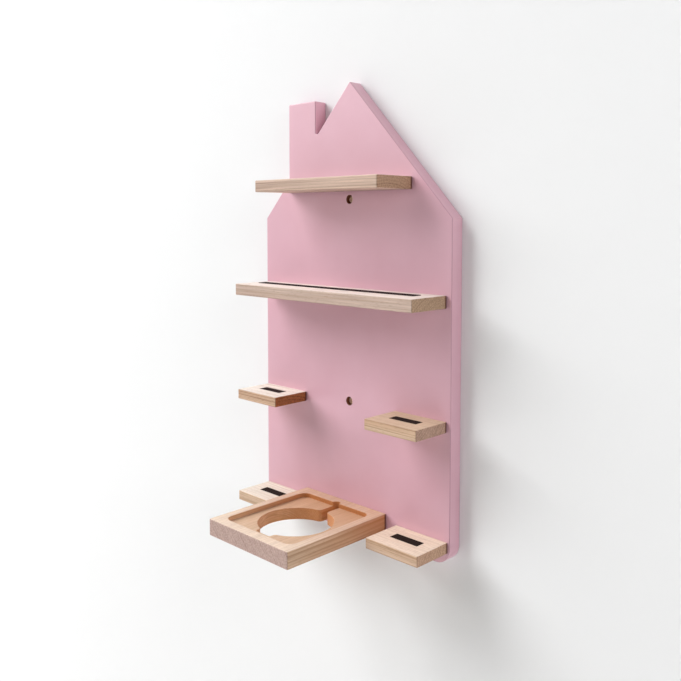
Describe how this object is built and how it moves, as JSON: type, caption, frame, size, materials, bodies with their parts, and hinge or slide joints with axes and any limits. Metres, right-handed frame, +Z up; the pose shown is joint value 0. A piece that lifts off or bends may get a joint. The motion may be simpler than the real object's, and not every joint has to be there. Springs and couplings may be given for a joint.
{
  "type": "floating wall shelf",
  "caption": "House-shaped painted wall board that carries wooden shelves and ledges with inlaid magnet strips, and a tray with a recess and round opening for a charging dock.",
  "frame": {"origin": "on the wall, on the board's flat back, midway between the two wall screws", "axes": "+Z up, +X to the right along the wall as seen from the room, +Y into the wall; the board's front faces -Y"},
  "size_m": [0.3, 0.2135, 0.5333],
  "materials": {
    "painted_board": "fibreboard with matte pale pink paint",
    "shelf_wood": "sanded solid beech, oiled, long grain along the wall",
    "tray_wood": "sanded solid beech, oiled, grain from back to front",
    "magnet_strip": "matte black flexible magnet strip",
    "screw_steel": "zinc-plated steel screws",
    "wall_screw_steel": "bright zinc-plated steel screws",
    "dowel_wood": "turned beech dowels"
  },
  "bodies": {
    "root": {"house_board": "painted_board", "top_shelf": "shelf_wood", "top_shelf_magnet_strip": "magnet_strip", "long_shelf": "shelf_wood", "long_shelf_magnet_strip": "magnet_strip", "mid_left_ledge": "shelf_wood", "mid_left_ledge_magnet_strip": "magnet_strip", "mid_right_ledge": "shelf_wood", "mid_right_ledge_magnet_strip": "magnet_strip", "bottom_left_ledge": "shelf_wood", "bottom_left_ledge_magnet_strip": "magnet_strip", "bottom_right_ledge": "shelf_wood", "bottom_right_ledge_magnet_strip": "magnet_strip", "top_shelf_screws": "screw_steel", "long_shelf_screws": "screw_steel", "mid_left_ledge_dowels": "dowel_wood", "mid_right_ledge_dowels": "dowel_wood", "bottom_left_ledge_dowels": "dowel_wood", "bottom_right_ledge_dowels": "dowel_wood", "dock_tray": "tray_wood", "dock_tray_screws": "screw_steel", "dock_tray_dowels": "dowel_wood", "wall_screws": "wall_screw_steel"}
  },
  "joints": []
}
